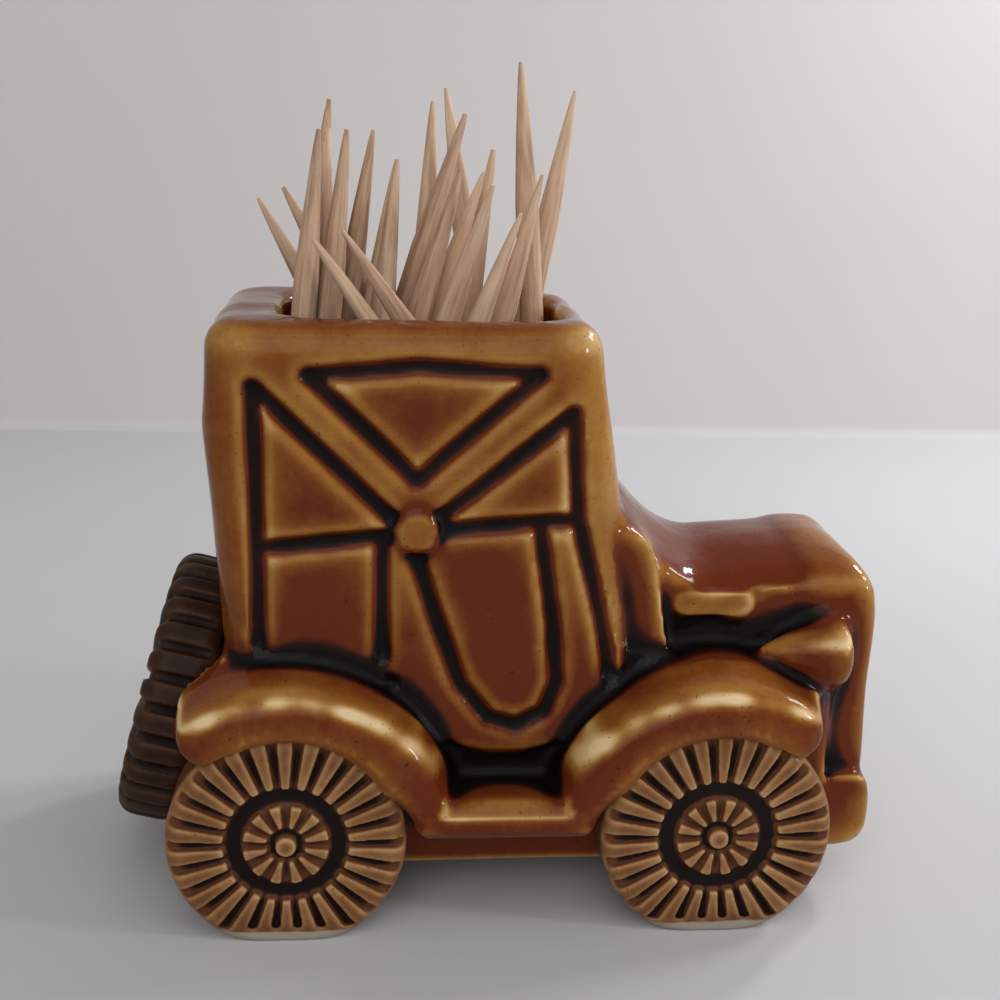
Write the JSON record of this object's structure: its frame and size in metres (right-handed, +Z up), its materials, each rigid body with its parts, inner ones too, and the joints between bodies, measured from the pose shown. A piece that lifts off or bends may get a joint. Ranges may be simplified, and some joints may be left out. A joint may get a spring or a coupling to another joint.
{
  "type": "toothpick holder",
  "caption": "Glazed ceramic toothpick holder shaped as a vintage motor car, with an open-topped hollow cabin, ribbed wheels, a rear spare wheel and loose pointed wooden picks that lift out.",
  "frame": {"origin": "on the table plane under the middle of the bounding box", "axes": "+X towards the radiator, +Y to the car's left side, +Z up out of the mouth"},
  "size_m": [0.0702, 0.037, 0.074],
  "materials": {
    "glaze": "gloss amber glaze",
    "pick_wood": "bare birch"
  },
  "bodies": {
    "holder": {"body": "glaze", "wheel_rear_right": "glaze", "wheel_front_right": "glaze", "wheel_rear_left": "glaze", "wheel_front_left": "glaze", "spare_wheel": "glaze"},
    "pick_01": {"toothpick_01": "pick_wood"},
    "pick_02": {"toothpick_02": "pick_wood"},
    "pick_03": {"toothpick_03": "pick_wood"},
    "pick_04": {"toothpick_04": "pick_wood"},
    "pick_05": {"toothpick_05": "pick_wood"},
    "pick_06": {"toothpick_06": "pick_wood"},
    "pick_07": {"toothpick_07": "pick_wood"},
    "pick_08": {"toothpick_08": "pick_wood"},
    "pick_09": {"toothpick_09": "pick_wood"},
    "pick_10": {"toothpick_10": "pick_wood"},
    "pick_11": {"toothpick_11": "pick_wood"},
    "pick_12": {"toothpick_12": "pick_wood"},
    "pick_13": {"toothpick_13": "pick_wood"},
    "pick_14": {"toothpick_14": "pick_wood"},
    "pick_15": {"toothpick_15": "pick_wood"},
    "pick_16": {"toothpick_16": "pick_wood"},
    "pick_17": {"toothpick_17": "pick_wood"},
    "pick_18": {"toothpick_18": "pick_wood"},
    "pick_19": {"toothpick_19": "pick_wood"},
    "pick_20": {"toothpick_20": "pick_wood"},
    "pick_21": {"toothpick_21": "pick_wood"},
    "pick_22": {"toothpick_22": "pick_wood"},
    "pick_23": {"toothpick_23": "pick_wood"},
    "pick_24": {"toothpick_24": "pick_wood"}
  },
  "joints": [
    {"name": "pick_01_lift", "type": "slide", "parent": "holder", "child": "pick_01", "axis": [-0.4833, -0.0259, 0.8751], "range_m": [0, 0.05]},
    {"name": "pick_02_lift", "type": "slide", "parent": "holder", "child": "pick_02", "axis": [-0.4794, -0.0024, 0.8776], "range_m": [0, 0.05]},
    {"name": "pick_03_lift", "type": "slide", "parent": "holder", "child": "pick_03", "axis": [-0.4798, 0.0155, 0.8772], "range_m": [0, 0.05]},
    {"name": "pick_04_lift", "type": "slide", "parent": "holder", "child": "pick_04", "axis": [0.1027, 0.1357, 0.9854], "range_m": [0, 0.05]},
    {"name": "pick_05_lift", "type": "slide", "parent": "holder", "child": "pick_05", "axis": [0.0511, 0.09, 0.9946], "range_m": [0, 0.05]},
    {"name": "pick_06_lift", "type": "slide", "parent": "holder", "child": "pick_06", "axis": [0.1061, 0.0745, 0.9916], "range_m": [0, 0.05]},
    {"name": "pick_07_lift", "type": "slide", "parent": "holder", "child": "pick_07", "axis": [0.0852, 0.0687, 0.994], "range_m": [0, 0.05]},
    {"name": "pick_08_lift", "type": "slide", "parent": "holder", "child": "pick_08", "axis": [0.1458, 0.2024, 0.9684], "range_m": [0, 0.05]},
    {"name": "pick_09_lift", "type": "slide", "parent": "holder", "child": "pick_09", "axis": [0.0967, 0.0504, 0.994], "range_m": [0, 0.05]},
    {"name": "pick_10_lift", "type": "slide", "parent": "holder", "child": "pick_10", "axis": [0.0941, 0.1387, 0.9859], "range_m": [0, 0.05]},
    {"name": "pick_11_lift", "type": "slide", "parent": "holder", "child": "pick_11", "axis": [0.1459, -0.1487, 0.9781], "range_m": [0, 0.05]},
    {"name": "pick_12_lift", "type": "slide", "parent": "holder", "child": "pick_12", "axis": [-0.568, -0.0277, 0.8226], "range_m": [0, 0.05]},
    {"name": "pick_13_lift", "type": "slide", "parent": "holder", "child": "pick_13", "axis": [-0.5674, -0.0392, 0.8225], "range_m": [0, 0.05]},
    {"name": "pick_14_lift", "type": "slide", "parent": "holder", "child": "pick_14", "axis": [0.0346, 0.2318, 0.9722], "range_m": [0, 0.05]},
    {"name": "pick_15_lift", "type": "slide", "parent": "holder", "child": "pick_15", "axis": [-0.1416, 0.17, 0.9752], "range_m": [0, 0.05]},
    {"name": "pick_16_lift", "type": "slide", "parent": "holder", "child": "pick_16", "axis": [0.2914, 0.0109, 0.9565], "range_m": [0, 0.05]},
    {"name": "pick_17_lift", "type": "slide", "parent": "holder", "child": "pick_17", "axis": [0.2999, -0.1527, 0.9417], "range_m": [0, 0.05]},
    {"name": "pick_18_lift", "type": "slide", "parent": "holder", "child": "pick_18", "axis": [0.2541, -0.0991, 0.9621], "range_m": [0, 0.05]},
    {"name": "pick_19_lift", "type": "slide", "parent": "holder", "child": "pick_19", "axis": [0.2691, -0.1984, 0.9424], "range_m": [0, 0.05]},
    {"name": "pick_20_lift", "type": "slide", "parent": "holder", "child": "pick_20", "axis": [0.3223, -0.1395, 0.9363], "range_m": [0, 0.05]},
    {"name": "pick_21_lift", "type": "slide", "parent": "holder", "child": "pick_21", "axis": [-0.0774, 0.0354, 0.9964], "range_m": [0, 0.05]},
    {"name": "pick_22_lift", "type": "slide", "parent": "holder", "child": "pick_22", "axis": [0.1875, 0.1022, 0.9769], "range_m": [0, 0.05]},
    {"name": "pick_23_lift", "type": "slide", "parent": "holder", "child": "pick_23", "axis": [0.2333, -0.0506, 0.9711], "range_m": [0, 0.05]},
    {"name": "pick_24_lift", "type": "slide", "parent": "holder", "child": "pick_24", "axis": [0.1301, -0.0828, 0.988], "range_m": [0, 0.05]}
  ]
}
